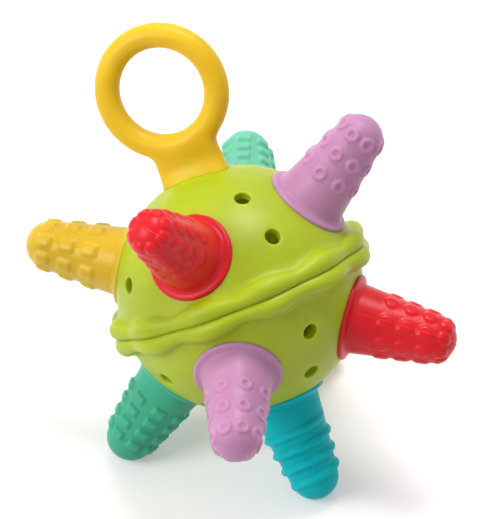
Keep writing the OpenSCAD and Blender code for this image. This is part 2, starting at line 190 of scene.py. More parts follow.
class TeetherFinger(bpy.types.PropertyGroup):
    """Sizes of the soft fingers."""

    reach: length("Reach", "How far a side finger's tip stands out of the ball", 28.7)
    pole_reach: length("Pole reach", "How far the pole finger's tip stands out of the ball", 30)
    base_r: length("Base radius", "Radius where a finger meets the ball", 10)
    tip_r: length("Tip radius", "Radius of the domed tip", 7)
    brim_r: length("Brim radius", "Radius of the brim on the ball", 12.4)
    brim_t: length("Brim thickness", "Thickness of the brim", 0.95)
    root_r: length("Root fillet", "Hollow rounding between finger and brim", 1.6)
    gap: length("Gap", "Clearance between a finger and the shell", 0.05)
    neck_r: length("Neck radius", "Radius of the neck in the shell", 7)
    lip_r: length("Lip radius", "Radius of the lip behind the shell", 8.6)
    lip_t: length("Lip thickness", "Thickness of the lip behind the shell", 1.6)
    socket_r: length("Socket radius", "Radius of the hollow round the core", 4.65)
    socket_end: length("Socket length", "How far that hollow stands out of the ball", 4.6)
    hollow_r: length("Hollow radius", "Radius of the hollow's end", 3.4)
    tip_wall: length("Tip wall", "Thickness of the tip in front of the hollow", 4.6)
    bend_start: length("Bend start", "How far out of the ball a finger starts to bend", 4.5)
    bend_end: length("Bend end", "How far out of the ball a finger stops bending", 17)


class TeetherTexture(bpy.types.PropertyGroup):
    """Sizes of the raised chewing textures. Starts are measured along the skin from the ball."""

    rows: count("Rows", "Bump rows round a finger", 8)
    button_h: length("Button height", "Height of a button", 0.52)
    button_r: length("Button radius", "Radius of a button", 2.05)
    button_edge: length("Button edge", "Half of the width of a button's rounded edge", 0.76)
    button_start: length("First button", "Distance to the first button", 9.2)
    button_pitch: length("Button pitch", "Distance between buttons", 5.75)
    buttons: count("Buttons", "Buttons in a row", 4)
    seam_h: length("Mould line height", "Height of the mould line on the button fingers", 0.14)
    seam_w: length("Mould line width", "Half of the width of that line", 0.3)
    donut_h: length("Donut height", "Height of a donut", 0.5)
    donut_r: length("Donut radius", "Middle radius of a donut", 1.5)
    donut_t: length("Donut width", "Half of the width of a donut's ring", 0.85)
    donut_start: length("First donut", "Distance to the first donut", 9.8)
    donut_pitch: length("Donut pitch", "Distance between donuts", 7.05)
    donuts: count("Donuts", "Donuts in a row", 3)
    pad_h: length("Pad height", "Height of a pad", 0.68)
    pad_l: length("Pad length", "Length of a pad along the finger", 4.1)
    pad_w: length("Pad width", "Width of a pad", 3.7)
    pad_corner: length("Pad corner", "Corner radius of a pad", 0.9)
    pad_edge: length("Pad edge", "Half of the width of a pad's rounded edge", 0.84)
    pad_start: length("First pad", "Distance to the first pad", 8.1)
    pad_pitch: length("Pad pitch", "Distance between pads", 7.1)
    pads: count("Pads", "Pads in a row", 3)
    block_h: length("Block height", "Height of a block", 0.95)
    block_l: length("Block length", "Length of a block along the finger", 2.6)
    block_w: length("Block width", "Width of a block", 3.7)
    block_corner: length("Block corner", "Corner radius of a block", 0.5)
    block_edge: length("Block edge", "Half of the width of a block's rounded edge", 0.52)
    block_start: length("First block", "Distance to the first block", 7.2)
    block_pitch: length("Block pitch", "Distance between blocks", 4.5)
    blocks: count("Blocks", "Blocks in a row", 4)
    rib_h: length("Rib height", "Height of the spiral rib", 1)
    rib_w: length("Rib width", "Half of the width of the spiral rib", 1.3)
    rib_start: length("Rib start", "Distance to the start of the spiral rib", 6.5)
    rib_pitch: length("Rib pitch", "Distance between turns of the spiral rib", 5)
    rib_turns: FloatProperty(name="Rib turns", description="Turns of the spiral rib", default=3.75)


class TeetherColours(bpy.types.PropertyGroup):
    """Colours of the moulded pieces."""

    lime_shell: colour("Lime", "Shells", 169, 186, 14)
    yellow_ring: colour("Yellow", "Ring handle", 229, 190, 28)
    red_finger: colour("Red", "Button fingers", 219, 15, 30)
    lilac_finger: colour("Lilac", "Donut fingers", 191, 136, 174)
    mint_finger: colour("Mint", "Upper block finger", 112, 196, 166)
    butter_finger: colour("Butter", "Pad fingers", 210, 174, 30)
    leaf_finger: colour("Leaf", "Lower block finger", 62, 174, 140)
    turquoise_finger: colour("Turquoise", "Spiral finger", 0, 184, 192)
    ivory_core: colour("Ivory", "Cores and anchor", 233, 228, 212)
    ivory_bead: colour("Bead", "Rattle beads", 238, 232, 214)


def smooth(value, low, high):
    """Soft step from 0 at low to 1 at high."""
    part = min(1, max(0, (value - low) / (high - low)))
    return part * part * (3 - 2 * part)


def arc(centre, radius, start, end, steps):
    """Points of a profile's arc between two angles in radians, both ends included."""
    turns = [start + (end - start) * i / steps for i in range(steps + 1)]
    return [(centre[0] + radius * cos(t), centre[1] + radius * sin(t)) for t in turns]


def line(start, end, steps):
    """Points of a straight stretch of a profile without its two ends."""
    parts = [i / steps for i in range(1, steps)]
    return [(start[0] + (end[0] - start[0]) * p, start[1] + (end[1] - start[1]) * p) for p in parts]


def soft_corner(start, corner, end, part):
    """Point at a part of the way round a soft corner between two places of a profile."""
    near, far = (1 - part) ** 2, part ** 2
    middle = 1 - near - far
    return [near * a + middle * b + far * c for a, b, c in zip(start, corner, end)]


def spun(points, columns, tags, closed=False):
    """A profile of radius and height spun about Z, with a tag kept on each point.

    One eighth is spun and then doubled three times.
    """
    mesh = bmesh.new()
    tag = mesh.verts.layers.float.new("tag")
    verts = [mesh.verts.new((r, 0, z)) for r, z in points]
    for vert, value in zip(verts, tags):
        vert[tag] = value
    edges = [mesh.edges.new(pair) for pair in zip(verts, verts[1:])]
    if closed:
        edges.append(mesh.edges.new((verts[-1], verts[0])))
    bmesh.ops.spin(
        mesh, geom=verts + edges, cent=(0, 0, 0), axis=(0, 0, 1), angle=pi / 4, steps=columns // 8
    )
    for angle in (pi / 4, pi / 2, pi):
        whole = mesh.verts[:] + mesh.edges[:] + mesh.faces[:]
        copy = bmesh.ops.duplicate(mesh, geom=whole)["geom"]
        copied = [item for item in copy if isinstance(item, bmesh.types.BMVert)]
        bmesh.ops.rotate(mesh, cent=(0, 0, 0), matrix=Matrix.Rotation(angle, 3, "Z"), verts=copied)
    bmesh.ops.remove_doubles(mesh, verts=mesh.verts, dist=MERGE)
    bmesh.ops.recalc_face_normals(mesh, faces=mesh.faces)
    return mesh, tag


def piece(name, mesh, place, material, sharp):
    """A finished object at the origin, with its place in its mesh.

    Edges that turn by more than the sharp angle stay sharp.
    """
    bmesh.ops.transform(mesh, matrix=place, verts=mesh.verts)
    for face in mesh.faces:
        face.smooth = True
    for layer in mesh.verts.layers.float.values():
        mesh.verts.layers.float.remove(layer)
    data = bpy.data.meshes.new(name)
    mesh.to_mesh(data)
    mesh.free()
    data.set_sharp_from_angle(angle=sharp)
    data.materials.append(material)
    thing = bpy.data.objects.new(name, data)
    bpy.context.scene.collection.objects.link(thing)
    return thing


# Finishes

class Finish:
    """A moulded finish as it is put together: its shader, its place on the piece and its nodes."""

    def __init__(self, name):
        self.material = bpy.data.materials.new(name)
        self.material.use_nodes = True
        self.tree = self.material.node_tree
        self.shader = self.tree.nodes["Principled BSDF"]
        self.place = self.add("ShaderNodeTexCoord")

    def add(self, kind):
        """A new node."""
        return self.tree.nodes.new(kind)

    def join(self, start, end):
        """A link between two sockets."""
        self.tree.links.new(start, end)

    def cloud(self, size, detail):
        """Soft noise with spots of about that size, in metres."""
        noise = self.add("ShaderNodeTexNoise")
        noise.inputs["Scale"].default_value = 1 / size
        noise.inputs["Detail"].default_value = detail
        self.join(self.place.outputs["Object"], noise.inputs["Vector"])
        return noise.outputs["Fac"]

    def spread(self, value, low, high):
        """A noise value taken to the range from low to high."""
        noise_low, noise_high = 0.3, 0.7
        span = self.add("ShaderNodeMapRange")
        span.inputs["From Min"].default_value = noise_low
        span.inputs["From Max"].default_value = noise_high
        span.inputs["To Min"].default_value = low
        span.inputs["To Max"].default_value = high
        self.join(value, span.inputs["Value"])
        return span.outputs["Result"]

    def tint(self, value, dark, light):
        """Base colour between two colours."""
        mix = self.add("ShaderNodeMix")
        mix.data_type = "RGBA"
        mix.inputs["A"].default_value = (*dark, 1)
        mix.inputs["B"].default_value = (*light, 1)
        self.join(value, mix.inputs["Factor"])
        self.join(mix.outputs["Result"], self.shader.inputs["Base Color"])

    def grain(self, value, depth, strength):
        """Fine relief of that depth, in metres."""
        bump = self.add("ShaderNodeBump")
        bump.inputs["Distance"].default_value = depth
        bump.inputs["Strength"].default_value = strength
        self.join(value, bump.inputs["Height"])
        self.join(bump.outputs["Normal"], self.shader.inputs["Normal"])

    def painted_inside_glow(self, radius, level, base):
        """Painted glow on the inside of the ball: an emission that stands in for light coming through the
        wall. It fades within the wall.
        """
        fade = 1.5 * MM
        reach = self.add("ShaderNodeVectorMath")
        reach.operation = "DISTANCE"
        reach.inputs[1].default_value = CENTRE
        self.join(self.place.outputs["Object"], reach.inputs[0])
        inside = self.add("ShaderNodeMapRange")
        inside.inputs["From Min"].default_value = radius
        inside.inputs["From Max"].default_value = radius + fade
        inside.inputs["To Min"].default_value = level
        inside.inputs["To Max"].default_value = 0
        self.join(reach.outputs["Value"], inside.inputs["Value"])
        self.shader.inputs["Emission Color"].default_value = (*base, 1)
        self.join(inside.outputs["Result"], self.shader.inputs["Emission Strength"])

    def put(self, socket, value):
        """A plain value on one of the shader's sockets."""
        self.shader.inputs[socket].default_value = value


def moulded(slot):
    """Moulded plastic or elastomer: faint cloudy colour, uneven gloss and a fine skin."""
    roughness, softness, glow, shine = FINISHES[slot]
    base = getattr(bpy.context.scene.teether_colours, slot)
    brightest = max(base)
    finish = Finish(slot + "_finish")
    dark = [value * 0.93 for value in base]
    light = [min(1, value * 1.05 + 0.004) for value in base]
    finish.tint(finish.spread(finish.cloud(size=14 * MM, detail=3), low=0, high=1), dark, light)
    patches = finish.cloud(size=5 * MM, detail=4)
    gloss = finish.spread(patches, low=roughness * 0.9, high=roughness * 1.12)
    finish.join(gloss, finish.shader.inputs["Roughness"])
    finish.grain(finish.cloud(size=0.7 * MM, detail=2), depth=0.02 * MM, strength=0.5)
    finish.put("Subsurface Weight", softness)
    finish.put("Subsurface Scale", glow * MM)
    finish.put("Subsurface Radius", [0.2 + 0.8 * value / brightest for value in base])
    finish.put("Specular IOR Level", shine)
    if slot == "lime_shell":
        shell = bpy.context.scene.teether_shell
        # Painted glow: the inside of the shell emits light in the lime colour
        finish.painted_inside_glow(shell.ball_r - shell.wall, level=0.1, base=base)
    return finish.material


# Shells

def lip_point(size, share, lobe):
    """Radius and height of a lip's point at a share of its profile, at a place across its lobe.

    The profile leaves the ball in a soft corner, goes round a bead and ends on the parting face.
    """
    blend_end, bead_end = 0.4, 0.94
    valley_top, lobe_top = radians(70), radians(88)
    face_run = 0.25 * MM
    plumpness = 0.8
    swell = (0.5 + 0.5 * cos(pi * lobe)) ** plumpness

    def swelling(valley, crest):
        """Value between those in a valley and on the crest of a lobe."""
        return valley + (crest - valley) * swell

    radius = swelling(size.valley_r, size.lobe_r)
    middle_z = swelling(size.valley_rise, size.lobe_rise)
    middle_r = size.ball_r + swelling(size.valley_out, size.lobe_out) - radius
    top = swelling(valley_top, lobe_top)
    bottom = -asin(min(1, (middle_z - size.parting) / radius))
    if share <= blend_end:
        lat = asin(size.lip_top / size.ball_r)
        start = (size.ball_r * cos(lat), size.lip_top)
        landing = (middle_r + radius * cos(top), middle_z + radius * sin(top))
        down = (sin(lat), -cos(lat))
        inward = (-sin(top), cos(top))
        gap = (landing[0] - start[0], landing[1] - start[1])
        reach = (gap[0] * inward[1] - gap[1] * inward[0]) / (down[0] * inward[1] - down[1] * inward[0])
        corner = (start[0] + reach * down[0], start[1] + reach * down[1])
        return soft_corner(start, corner, landing, share / blend_end)
    if share <= bead_end:
        angle = top + (bottom - top) * (share - blend_end) / (bead_end - blend_end)
        return [middle_r + radius * cos(angle), middle_z + radius * sin(angle)]
    part = (share - bead_end) / (1 - bead_end)
    lowest = (middle_r + radius * cos(bottom), middle_z + radius * sin(bottom))
    return [lowest[0] - face_run * part, lowest[1] + (size.parting - lowest[1]) * part]


def cut_hole(mesh, axis, radius, rounding, ball_r, cavity_r):
    """Opens a round hole through both walls of a shell, with a rounded outer edge."""
    middle_r = (ball_r + cavity_r) / 2
    near_side = 0.8 * cavity_r
    margin = 0.35 * MM
    steps = 6

    def off_axis(point):
        """Distance of a point from the hole's axis."""
        return (point - axis * point.dot(axis)).length

    def ring_of(edges, ring_r, height):
        """Extrudes a rim to a circle round the axis and gives the new rim."""
        grown = bmesh.ops.extrude_edge_only(mesh, edges=edges)["geom"]
        for vert in (g for g in grown if isinstance(g, bmesh.types.BMVert)):
            across = vert.co - axis * vert.co.dot(axis)
            vert.co = across * (ring_r / across.length) + axis * height
        return [g for g in grown if isinstance(g, bmesh.types.BMEdge) and g.is_boundary]

    gone = []
    for face in mesh.faces:
        first = face.verts[0].co
        if first.dot(axis) < near_side:
            continue
        reach = radius + margin + (rounding if first.length > middle_r else 0)
        if any(off_axis(vert.co) < reach for vert in face.verts):
            gone.append(face)
    bmesh.ops.delete(mesh, geom=gone, context="FACES")
    rim = [edge for edge in mesh.edges if edge.is_boundary]
    outer = [edge for edge in rim if edge.verts[0].co.length > middle_r]
    inner = [edge for edge in rim if edge.verts[0].co.length <= middle_r]
    edge_r = radius + rounding
    edge_z = sqrt(ball_r ** 2 - edge_r ** 2)
    outer = ring_of(outer, edge_r, edge_z)
    for i in range(1, steps + 1):
        angle = pi / 2 * i / steps
        outer = ring_of(outer, edge_r - rounding * sin(angle), edge_z - rounding * (1 - cos(angle)))
    inner = ring_of(inner, radius, sqrt(cavity_r ** 2 - radius ** 2))
    bmesh.ops.bridge_loops(mesh, edges=outer + inner)


def toward(lat, lon):
    """Unit direction in the ball frame at a latitude and a longitude in radians."""
    return Vector((cos(lat) * cos(lon), cos(lat) * sin(lon), sin(lat)))


def half_shell(half, size, finger, handle):
    """Half of the ball, hollow, with its lobed lip, vents and seats."""
    cavity_r = size.ball_r - size.wall
    hole_r = handle.stem_r + handle.gap if half == "upper" else finger.neck_r + finger.gap
    lip_rows, face_steps, lobe_columns = 36, 3, 30
    cell, inner_cell = radians(0.95), radians(1.425)
    seat_round = 0.3 * MM
    outer_lat = asin(size.lip_top / size.ball_r)
    top_lat = acos(hole_r / size.ball_r)
    outer = arc((0, 0), size.ball_r, top_lat, outer_lat, ceil((top_lat - outer_lat) / cell))[:-1]
    shares = [i / lip_rows for i in range(lip_rows + 1)]
    lip = [lip_point(size, share, 0) for share in shares]
    face = line(lip[-1], (cavity_r, size.parting), face_steps)
    inner_lat = asin(size.parting / cavity_r)
    inner_top = acos(hole_r / cavity_r)
    inner = arc((0, 0), cavity_r, inner_lat, inner_top, ceil((inner_top - inner_lat) / inner_cell))
    tags = [-1] * len(outer) + shares + [-1] * (len(face) + len(inner))
    mesh, tag = spun(outer + lip + face + inner, lobe_columns * size.lobes, tags, closed=True)
    for vert in mesh.verts:
        if vert[tag] < 0:
            continue
        angle = atan2(vert.co.y, vert.co.x)
        place = angle * size.lobes / (2 * pi)
        radius, height = lip_point(size, vert[tag], 2 * (place - round(place)))
        vert.co = (radius * cos(angle), radius * sin(angle), height)
    sign = 1
    if half == "lower":
        sign = -1
        bmesh.ops.scale(mesh, vec=(1, 1, -1), verts=mesh.verts)
    to_ball = BALL.inverted()
    for side in SIDES:
        axis = (to_ball @ HINGES[half + "_finger_" + side]).normalized()
        cut_hole(mesh, axis, finger.neck_r + finger.gap, seat_round, size.ball_r, cavity_r)
    for lat in (size.vent_low, size.vent_high):
        for i in range(4):
            axis = toward(sign * lat, pi / 4 + i * pi / 2)
            cut_hole(mesh, axis, size.vent_r, size.vent_round, size.ball_r, cavity_r)
    bmesh.ops.recalc_face_normals(mesh, faces=mesh.faces)
    return mesh


# Handle

class HandleCage:
    """Cage of the ring handle for a subdivision surface: its ring, flared neck, stem and bore."""

    TUBE_SIDES, RING_SIDES, STEM_SIDES = 8, 32, 10
    HALF_STEP = pi / RING_SIDES
    NECK_END = 5 * HALF_STEP

    def __init__(self, size, ball_r):
        self.size = size
        self.ball_r = ball_r
        self.ring_z = ball_r + size.rise
        self.line_r = self.grown(size.line_r, self.RING_SIDES)
        self.mesh = bmesh.new()
        self.crease = self.mesh.edges.layers.float.new("crease_edge")
        self.along = self.mesh.verts.layers.float.new("along")
        self.across = self.mesh.verts.layers.float.new("across")

    def build(self):
        """The mesh of the whole cage."""
        self.spin_ring()
        foot = self.draw_neck()
        self.draw_stem(foot)
        bmesh.ops.recalc_face_normals(self.mesh, faces=self.mesh.faces)
        return self.mesh

    @staticmethod
    def grown(radius, sides):
        """Control radius whose smooth surface has that radius."""
        return radius / (2 / 3 + cos(2 * pi / sides) / 3)

    def spin_ring(self):
        """Spins the ring. Each point keeps its angle from the lowest point and its angle round the tube."""
        mesh = self.mesh
        first = Matrix.Translation((0, 0, self.ring_z)) @ Matrix.Rotation(self.HALF_STEP, 4, "Y")
        first = first @ Matrix.Translation((0, 0, -self.line_r)) @ Matrix.Rotation(pi / 2, 4, "Y")
        tube_r = self.grown(self.size.tube_r, self.TUBE_SIDES)
        bmesh.ops.create_circle(mesh, segments=self.TUBE_SIDES, radius=tube_r, matrix=first)
        bmesh.ops.spin(
            mesh, geom=mesh.verts[:] + mesh.edges[:], cent=(0, 0, self.ring_z), axis=(0, 1, 0),
            angle=2 * pi, steps=self.RING_SIDES, use_merge=True
        )
        bmesh.ops.remove_doubles(mesh, verts=mesh.verts, dist=MERGE)
        bmesh.ops.recalc_face_normals(mesh, faces=mesh.faces)
        for vert in mesh.verts:
            x, y, z = vert.co - Vector((0, 0, self.ring_z))
            vert[self.along] = atan2(x, -z)
            vert[self.across] = atan2(y, hypot(x, z) - self.line_r)

    def within(self, face, along, across):
        """Whether all points of a face are within an angle along the ring and one round the tube."""
        return all(abs(v[self.along]) < along and abs(v[self.across]) < across for v in face.verts)

    def extrude(self, faces):
        """Extrudes faces and gives the new points and faces."""
        grown = bmesh.ops.extrude_face_region(self.mesh, geom=faces)["geom"]
        bmesh.ops.delete(self.mesh, geom=faces, context="FACES")
        verts = [item for item in grown if isinstance(item, bmesh.types.BMVert)]
        return verts, [item for item in grown if isinstance(item, bmesh.types.BMFace)]

    def draw_neck(self):
        """Draws the neck from the ring down to the ball and gives the faces of its foot."""
        size = self.size
        slack = 0.01
        flare_power = 2.5
        foot = [f for f in self.mesh.faces if self.within(f, self.NECK_END + slack, pi / 2 + slack)]
        for part in (0, 0.55, 1):
            verts, foot = self.extrude(foot)
            flare = part ** flare_power
            width = size.waist_w + (size.foot_w - size.waist_w) * flare
            depth = size.waist_t + (size.foot_t - size.waist_t) * flare
            self.settle(verts, width, depth, size.waist_rise - (size.waist_rise + size.sink) * part)
        inside = set(foot)
        for edge in {edge for face in foot for edge in face.edges}:
            if any(face not in inside for face in edge.link_faces):
                edge[self.crease] = 1
        return foot

    def settle(self, verts, width, depth, rise):
        """Lays a level of the neck over the ball, as a long round."""
        for vert in verts:
            share = vert[self.along] / self.NECK_END
            x = width / 2 * share * (0.8 + 0.2 * cos(vert[self.across]))
            y = depth / 2 * sin(vert[self.across]) * sqrt(1 - 0.4 * share ** 2)
            vert.co = (x, y, sqrt((self.ball_r + rise) ** 2 - x * x - y * y))

    def draw_stem(self, foot):
        """Draws the stem down from the middle of the foot, and its bore up again."""
        size = self.size
        rim = 0.3 * MM
        seat = [face for face in foot if self.within(face, 3.2 * self.HALF_STEP, pi / 3)]
        cap = bmesh.ops.dissolve_faces(self.mesh, faces=seat, use_verts=True)["region"]
        seat_r = self.ball_r - size.sink
        rim_r = size.stem_r + rim
        stem_end = self.ball_r - size.stem_in
        self.round_off(cap[0], rim_r, sqrt(seat_r ** 2 - rim_r ** 2))
        levels = (
            (size.stem_r, sqrt(seat_r ** 2 - size.stem_r ** 2)),
            (size.stem_r, stem_end),
            (size.bore_r, stem_end),
            (size.bore_r, self.ball_r + size.bore_out),
        )
        for radius, height in levels:
            cap = self.extrude(cap)[1]
            self.round_off(cap[0], radius, height)

    def round_off(self, cap, radius, height):
        """Makes a cap an even circle with a creased edge."""
        verts = sorted(cap.verts, key=lambda vert: atan2(vert.co.y, vert.co.x))
        start = atan2(verts[0].co.y, verts[0].co.x)
        control_r = self.grown(radius, self.STEM_SIDES)
        for i, vert in enumerate(verts):
            angle = start + 2 * pi * i / len(verts)
            vert.co = (control_r * cos(angle), control_r * sin(angle), height)
        for edge in cap.edges:
            edge[self.crease] = 1


# Fingers

class Skin:
    """The textured skin of a finger: a cone that runs into a dome.

    Lengths along it start at the ball.
    """

    def __init__(self, size, ball_r, reach):
        self.ball_r = ball_r
        self.base_r = size.base_r
        self.tip_r = size.tip_r
        self.tip_z = ball_r + reach - size.tip_r
        rise = self.tip_z - ball_r
        self.taper = acos(size.tip_r / hypot(size.base_r, rise)) - atan2(rise, size.base_r)
        self.cone_l = (rise + size.tip_r * sin(self.taper)) / cos(self.taper)
        self.whole_l = self.cone_l + size.tip_r * (pi / 2 - self.taper)

    def at(self, along):
        """Radius, height and tilt of the skin at a length along it."""
        if along <= self.cone_l:
            radius = self.base_r - along * sin(self.taper)
            return radius, self.ball_r + along * cos(self.taper), self.taper
        tilt = self.taper + (along - self.cone_l) / self.tip_r
        return self.tip_r * cos(tilt), self.tip_z + self.tip_r * sin(tilt), tilt

    def raised(self, along, height):
        """Radius and height of a place that stands out of the skin."""
        radius, z, tilt = self.at(along)
        return radius + height * cos(tilt), z + height * sin(tilt)


def finger_profile(size, ball_r, wall, skin):
    """Profile of a finger from its tip by its brim, neck and lip to its hollow, and each point's length.

    A length is measured along the skin. Points that aren't on the skin have -1.
    """
    row_step = 0.27 * MM
    root_steps = 8
    corner_out = 0.1 * MM
    brim_top = ball_r + size.brim_t
    edge_line = size.brim_r - size.brim_t
    lean = acos(edge_line / ball_r)
    root_z = sqrt(brim_top ** 2 - size.base_r ** 2) + size.root_r
    root_l = (root_z - ball_r) / cos(skin.taper)
    rows = ceil((skin.whole_l - root_l) / row_step)
    alongs = [skin.whole_l + (root_l - skin.whole_l) * i / rows for i in range(rows + 1)]
    points = [skin.at(along)[:2] for along in alongs]
    points[0] = (0, points[0][1])
    foot_r = points[-1][0] + size.root_r
    foot = (foot_r, sqrt(brim_top ** 2 - foot_r ** 2))
    corner = (points[-1][0] + corner_out, foot[1] + corner_out)
    root = [soft_corner(points[-1], corner, foot, i / root_steps) for i in range(1, root_steps + 1)]
    edge = arc((edge_line, ball_r * sin(lean)), size.brim_t, lean, lean - pi / 2, steps=10)
    under = arc((0, 0), ball_r, acos(edge[-1][0] / ball_r), acos(size.neck_r / ball_r), steps=8)
    cavity_r = ball_r - wall
    behind_r = cavity_r - size.gap
    behind = arc((0, 0), behind_r, acos(size.neck_r / behind_r), acos(size.lip_r / behind_r), steps=2)
    lip_floor = sqrt(cavity_r ** 2 - size.lip_r ** 2) - size.lip_t
    floor = [
        (size.lip_r, lip_floor),
        (size.socket_r, lip_floor),
        (size.socket_r, ball_r + size.socket_end),
    ]
    hollow_z = skin.tip_z + size.tip_r - size.tip_wall - size.hollow_r
    hollow = arc((0, hollow_z), size.hollow_r, 0, pi / 2, steps=8)
    hollow[-1] = (0, hollow[-1][1])
    rest = root + edge + under + behind + floor + hollow
    return points + rest, alongs + [-1] * len(rest)


def nearest(along, angle, skin_r, rows, start, pitch, number):
    """Distance along and round the finger to the nearest bump, and that bump's place in its row."""
    step = 2 * pi / rows
    place = min(number - 1, max(0, round((along - start) / pitch)))
    off_row = angle - step * round(angle / step)
    return along - start - place * pitch, skin_r * off_row, place


def plateau(outside, edge):
    """Share of a bump's height at a distance outside its edge."""
    return 1 - smooth(outside, -edge, edge)


def box_edge(x, y, box_l, box_w, corner):
    """Distance outside the edge of a rectangle with round corners."""
    out_x = abs(x) - box_l / 2 + corner
    out_y = abs(y) - box_w / 2 + corner
    return hypot(max(0, out_x), max(0, out_y)) + min(0, max(out_x, out_y)) - corner


def buttons(size, along, angle, skin_r):
    """Flat round buttons, smaller on the dome, and the mould line through two rows of them."""
    dome_share = 0.9
    x, y, place = nearest(
        along, angle, skin_r, size.rows, size.button_start, size.button_pitch, size.buttons
    )
    radius = size.button_r * (dome_share if place == size.buttons - 1 else 1)
    line_turn = 2 * pi / size.rows
    off_line = (angle - line_turn) - pi * round((angle - line_turn) / pi)
    line_h = size.seam_h * (1 - smooth(abs(off_line) * skin_r, 0, size.seam_w))
    return size.button_h * plateau(hypot(x, y) - radius, size.button_edge) + line_h


def donuts(size, along, angle, skin_r):
    """Raised rings."""
    x, y, _ = nearest(
        along, angle, skin_r, size.rows, size.donut_start, size.donut_pitch, size.donuts
    )
    off_ring = (hypot(x, y) - size.donut_r) / size.donut_t
    return size.donut_h * max(0, 1 - off_ring * off_ring)


def pads(size, along, angle, skin_r):
    """Long rounded pads."""
    x, y, _ = nearest(along, angle, skin_r, size.rows, size.pad_start, size.pad_pitch, size.pads)
    outside = box_edge(x, y, size.pad_l, size.pad_w, size.pad_corner)
    return size.pad_h * plateau(outside, size.pad_edge)


def blocks(size, along, angle, skin_r):
    """Short blocks, wider than long."""
    x, y, _ = nearest(
        along, angle, skin_r, size.rows, size.block_start, size.block_pitch, size.blocks
    )
    outside = box_edge(x, y, size.block_l, size.block_w, size.block_corner)
    return size.block_h * plateau(outside, size.block_edge)


def spiral(size, along, angle, skin_r):
    """One rounded rib wound up the finger, which fades in and out over parts of a turn."""
    fade_in, fade_out = 0.3, 0.4
    part = (angle / (2 * pi)) % 1
    place = (along - size.rib_start) / size.rib_pitch - part
    wound = round(place) + part
    off_rib = (place - round(place)) * size.rib_pitch / size.rib_w
    fade = smooth(wound, 0, fade_in) * (1 - smooth(wound, size.rib_turns - fade_out, size.rib_turns))
    return size.rib_h * fade * max(0, 1 - off_rib * off_rib)


TEXTURES = {"buttons": buttons, "donuts": donuts, "pads": pads, "blocks": blocks, "spiral": spiral}


def finger_mesh(size, ball_r, wall, reach, texture, row_turn):
    """A finger in its own frame, with Z out of the ball, and its raised texture."""
    columns = 256
    skin = Skin(size, ball_r, reach)
    points, alongs = finger_profile(size, ball_r, wall, skin)
    mesh, tag = spun(points, columns, alongs)
    near_tip = skin.whole_l - 0.01 * MM
    relief = TEXTURES[texture]
    look = bpy.context.scene.teether_texture
    bmesh.ops.rotate(mesh, cent=(0, 0, 0), matrix=Matrix.Rotation(row_turn, 3, "Z"), verts=mesh.verts)
    for vert in mesh.verts:
        along = vert[tag]
        if along < 0 or along > near_tip:
            continue
        angle = atan2(vert.co.y, vert.co.x)
        height = relief(look, along, angle - row_turn, skin.at(along)[0])
        radius, z = skin.raised(along, height)
        vert.co = (radius * cos(angle), radius * sin(angle), z)
    return mesh


def finger_frame(node):
    """Frame of a finger: Z out of the ball, Y to the east, X to the pole finger."""
    out = (HINGES[node] - CENTRE).normalized()
    east = NORTH if node == "pole_finger" else UP.cross(out).normalized()
    south = east.cross(out)
    return Matrix.Translation(CENTRE) @ Matrix((south, east, out)).transposed().to_4x4()


# Stage

def seen_directly(tree):
    """1 for what the camera, a reflection or a clear piece shows, and 0 for the light on the object."""
    path = tree.nodes.new("ShaderNodeLightPath")
    total = path.outputs["Is Camera Ray"]
    for name in ("Is Glossy Ray", "Is Transmission Ray"):
        either = tree.nodes.new("ShaderNodeMath")
        either.operation = "MAXIMUM"
        tree.links.new(total, either.inputs[0])
        tree.links.new(path.outputs[name], either.inputs[1])
        total = either.outputs["Value"]
    return total


def build_floor():
    """A wide pale floor that keeps the object's shadow.

    It is seen lighter than the grey that it throws back on the object, and a lift takes it to white.
    """
    grey, pale = (0.62, 0.62, 0.62, 1), (0.86, 0.84, 0.85, 1)
    lift_level = 0.26
    mesh = bmesh.new()
    bmesh.ops.create_grid(mesh, x_segments=2, y_segments=2, size=4)
    material = bpy.data.materials.new("pale_floor")
    material.use_nodes = True
    tree = material.node_tree
    shader = tree.nodes["Principled BSDF"]
    seen = seen_directly(tree)
    tone = tree.nodes.new("ShaderNodeMix")
    tone.data_type = "RGBA"
    tone.inputs["A"].default_value = grey
    tone.inputs["B"].default_value = pale
    tree.links.new(seen, tone.inputs["Factor"])
    tree.links.new(tone.outputs["Result"], shader.inputs["Base Color"])
    shader.inputs["Roughness"].default_value = 0.9
    shader.inputs["Specular IOR Level"].default_value = 0
    shader.inputs["Emission Color"].default_value = (1, 1, 1, 1)
    lift = tree.nodes.new("ShaderNodeMath")
    lift.operation = "MULTIPLY"
    lift.inputs[1].default_value = lift_level
    tree.links.new(seen, lift.inputs[0])
    tree.links.new(lift.outputs["Value"], shader.inputs["Emission Strength"])
    piece("floor", mesh, Matrix.Identity(4), material, sharp=pi)


def build_sky():
    """White surroundings, whose light is weaker from behind the camera, as in a studio."""
    side_level, camera_level = 0.74, 0.31
    world = bpy.data.worlds.new("studio")
    bpy.context.scene.world = world
    world.use_nodes = True
    tree = world.node_tree
    sky = tree.nodes["Background"]
    sky.inputs["Color"].default_value = (1, 1, 1, 1)
    place = tree.nodes.new("ShaderNodeTexCoord")
    facing = tree.nodes.new("ShaderNodeVectorMath")
    facing.operation = "DOT_PRODUCT"
    facing.inputs[1].default_value = (0, -cos(VIEW_ANGLE), sin(VIEW_ANGLE))
    tree.links.new(place.outputs["Generated"], facing.inputs[0])
    level = tree.nodes.new("ShaderNodeMapRange")
    level.inputs["From Min"].default_value = 0
    level.inputs["From Max"].default_value = 1
    level.inputs["To Min"].default_value = side_level
    level.inputs["To Max"].default_value = camera_level
    tree.links.new(facing.outputs["Value"], level.inputs["Value"])
    shown = tree.nodes.new("ShaderNodeMix")
    shown.inputs["B"].default_value = 1
    tree.links.new(seen_directly(tree), shown.inputs["Factor"])
    tree.links.new(level.outputs["Result"], shown.inputs["A"])
    tree.links.new(shown.outputs["Result"], sky.inputs["Strength"])


